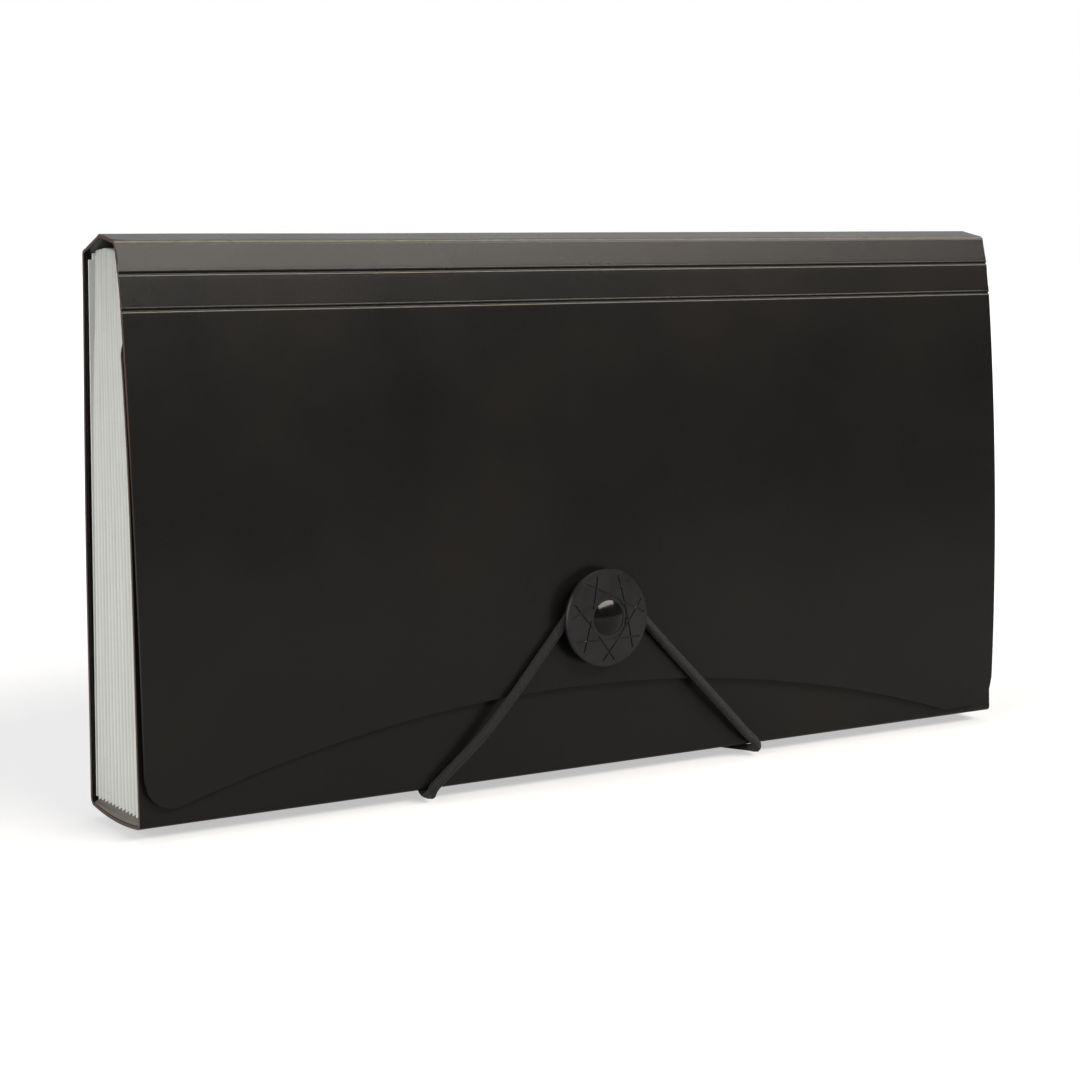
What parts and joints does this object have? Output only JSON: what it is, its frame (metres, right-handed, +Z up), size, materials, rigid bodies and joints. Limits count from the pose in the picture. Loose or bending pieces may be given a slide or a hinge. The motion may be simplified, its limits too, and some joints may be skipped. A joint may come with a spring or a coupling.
{
  "type": "coupon organizer wallet",
  "caption": "Expanding coupon wallet: folded plastic cover with flap, round button and elastic closure, pleated pockets inside.",
  "frame": {"origin": "middle of the box's underside, on the surface that the wallet stands on", "axes": "+X along the width, +Z up, -Y out of the flap's front, +Y out of the back cover"},
  "size_m": [0.254, 0.0338, 0.1343],
  "materials": {
    "cover_sheet": "fine matt grained polypropylene sheet",
    "button": "satin moulded plastic",
    "rivet": "polished moulded plastic",
    "washer": "natural plastic",
    "elastic": "round braided elastic",
    "barb": "crimped plated steel",
    "insert_sheet": "milky translucent polypropylene",
    "gusset_film": "milky translucent pleated film",
    "label_paper": "plain uncoated paper"
  },
  "bodies": {
    "root": {"back_cover": "cover_sheet", "spine_panel": "cover_sheet", "elastic_run_left": "elastic", "elastic_run_right": "elastic", "elastic_barb_left": "barb", "elastic_barb_right": "barb", "insert_back": "insert_sheet", "pocket_base": "insert_sheet", "gusset_left": "gusset_film", "gusset_right": "gusset_film"},
    "roof_bevel_body": {"roof_bevel": "cover_sheet"},
    "roof_body": {"roof_panel": "cover_sheet"},
    "band_upper_body": {"band_upper": "cover_sheet"},
    "band_lower_body": {"band_lower": "cover_sheet"},
    "flap_body": {"flap_panel": "cover_sheet", "rivet_cap": "rivet", "rivet_stud": "rivet", "backing_washer": "washer"},
    "button_body": {"button_disc": "button"},
    "front_body": {"front_cover": "cover_sheet", "insert_front": "insert_sheet", "elastic_loop": "elastic"},
    "divider_01_body": {"divider_01": "insert_sheet", "tab_label_01": "label_paper"},
    "divider_02_body": {"divider_02": "insert_sheet", "tab_label_02": "label_paper"},
    "divider_03_body": {"divider_03": "insert_sheet", "tab_label_03": "label_paper"},
    "divider_04_body": {"divider_04": "insert_sheet", "tab_label_04": "label_paper"},
    "divider_05_body": {"divider_05": "insert_sheet", "tab_label_05": "label_paper"},
    "divider_06_body": {"divider_06": "insert_sheet", "tab_label_06": "label_paper"},
    "divider_07_body": {"divider_07": "insert_sheet", "tab_label_07": "label_paper"},
    "divider_08_body": {"divider_08": "insert_sheet", "tab_label_08": "label_paper"},
    "divider_09_body": {"divider_09": "insert_sheet", "tab_label_09": "label_paper"},
    "divider_10_body": {"divider_10": "insert_sheet", "tab_label_10": "label_paper"},
    "divider_11_body": {"divider_11": "insert_sheet", "tab_label_11": "label_paper"},
    "divider_12_body": {"divider_12": "insert_sheet", "tab_label_12": "label_paper"}
  },
  "joints": [
    {"name": "roof_lift", "type": "hinge", "parent": "root", "child": "roof_bevel_body", "pos_m": [0, 0.01647, 0.1299], "axis": [-1, 0, 0], "range_deg": [0, 150], "deforming": ["elastic_loop"]},
    {"name": "ridge_fold", "type": "hinge", "parent": "roof_bevel_body", "child": "roof_body", "pos_m": [0, 0.00707, 0.1339], "axis": [-1, 0, 0], "range_deg": [0, 33]},
    {"name": "front_fold", "type": "hinge", "parent": "roof_body", "child": "band_upper_body", "pos_m": [0, -0.00093, 0.1325], "axis": [-1, 0, 0], "range_deg": [0, 64.5]},
    {"name": "crease_1_fold", "type": "hinge", "parent": "band_upper_body", "child": "band_lower_body", "pos_m": [0, -0.00283, 0.1257], "axis": [-1, 0, 0], "range_deg": [0, 5.55]},
    {"name": "crease_2_fold", "type": "hinge", "parent": "band_lower_body", "child": "flap_body", "pos_m": [0, -0.00423, 0.1178], "axis": [-1, 0, 0], "range_deg": [0, 6.3]},
    {"name": "front_cover_hinge", "type": "hinge", "parent": "root", "child": "front_body", "pos_m": [0, -0.01033, 0.00354], "axis": [1, 0, 0], "range_deg": [0, 22], "deforming": ["gusset_left", "gusset_right"]},
    {"name": "divider_01_hinge", "type": "hinge", "parent": "root", "child": "divider_01_body", "pos_m": [0, 0.01364, 0.00535], "axis": [1, 0, 0], "range_deg": [0, 1.69]},
    {"name": "divider_02_hinge", "type": "hinge", "parent": "root", "child": "divider_02_body", "pos_m": [0, 0.01173, 0.00535], "axis": [1, 0, 0], "range_deg": [0, 3.38]},
    {"name": "divider_03_hinge", "type": "hinge", "parent": "root", "child": "divider_03_body", "pos_m": [0, 0.00982, 0.00535], "axis": [1, 0, 0], "range_deg": [0, 5.08]},
    {"name": "divider_04_hinge", "type": "hinge", "parent": "root", "child": "divider_04_body", "pos_m": [0, 0.00791, 0.00535], "axis": [1, 0, 0], "range_deg": [0, 6.77]},
    {"name": "divider_05_hinge", "type": "hinge", "parent": "root", "child": "divider_05_body", "pos_m": [0, 0.006, 0.00535], "axis": [1, 0, 0], "range_deg": [0, 8.46]},
    {"name": "divider_06_hinge", "type": "hinge", "parent": "root", "child": "divider_06_body", "pos_m": [0, 0.00409, 0.00535], "axis": [1, 0, 0], "range_deg": [0, 10.15]},
    {"name": "divider_07_hinge", "type": "hinge", "parent": "root", "child": "divider_07_body", "pos_m": [0, 0.00218, 0.00535], "axis": [1, 0, 0], "range_deg": [0, 11.85]},
    {"name": "divider_08_hinge", "type": "hinge", "parent": "root", "child": "divider_08_body", "pos_m": [0, 0.00027, 0.00535], "axis": [1, 0, 0], "range_deg": [0, 13.54]},
    {"name": "divider_09_hinge", "type": "hinge", "parent": "root", "child": "divider_09_body", "pos_m": [0, -0.00164, 0.00535], "axis": [1, 0, 0], "range_deg": [0, 15.23]},
    {"name": "divider_10_hinge", "type": "hinge", "parent": "root", "child": "divider_10_body", "pos_m": [0, -0.00356, 0.00535], "axis": [1, 0, 0], "range_deg": [0, 16.92]},
    {"name": "divider_11_hinge", "type": "hinge", "parent": "root", "child": "divider_11_body", "pos_m": [0, -0.00547, 0.00535], "axis": [1, 0, 0], "range_deg": [0, 18.62]},
    {"name": "divider_12_hinge", "type": "hinge", "parent": "root", "child": "divider_12_body", "pos_m": [0, -0.00738, 0.00535], "axis": [1, 0, 0], "range_deg": [0, 20.31]},
    {"name": "button_spin", "type": "hinge", "parent": "flap_body", "child": "button_body", "pos_m": [-0.005, -0.01088, 0.041], "axis": [0, -0.9991, 0.0417], "continuous": true}
  ],
  "couplings": [
    {"joint": "ridge_fold", "follows": "roof_lift", "ratio": 0.22},
    {"joint": "front_fold", "follows": "roof_lift", "ratio": 0.43},
    {"joint": "crease_1_fold", "follows": "roof_lift", "ratio": 0.037},
    {"joint": "crease_2_fold", "follows": "roof_lift", "ratio": 0.042},
    {"joint": "front_cover_hinge", "follows": "roof_lift", "ratio": 0.14667},
    {"joint": "divider_01_hinge", "follows": "roof_lift", "ratio": 0.011281},
    {"joint": "divider_02_hinge", "follows": "roof_lift", "ratio": 0.022563},
    {"joint": "divider_03_hinge", "follows": "roof_lift", "ratio": 0.033846},
    {"joint": "divider_04_hinge", "follows": "roof_lift", "ratio": 0.045127},
    {"joint": "divider_05_hinge", "follows": "roof_lift", "ratio": 0.056409},
    {"joint": "divider_06_hinge", "follows": "roof_lift", "ratio": 0.067692},
    {"joint": "divider_07_hinge", "follows": "roof_lift", "ratio": 0.078974},
    {"joint": "divider_08_hinge", "follows": "roof_lift", "ratio": 0.090256},
    {"joint": "divider_09_hinge", "follows": "roof_lift", "ratio": 0.10154},
    {"joint": "divider_10_hinge", "follows": "roof_lift", "ratio": 0.11282},
    {"joint": "divider_11_hinge", "follows": "roof_lift", "ratio": 0.1241},
    {"joint": "divider_12_hinge", "follows": "roof_lift", "ratio": 0.13538}
  ]
}
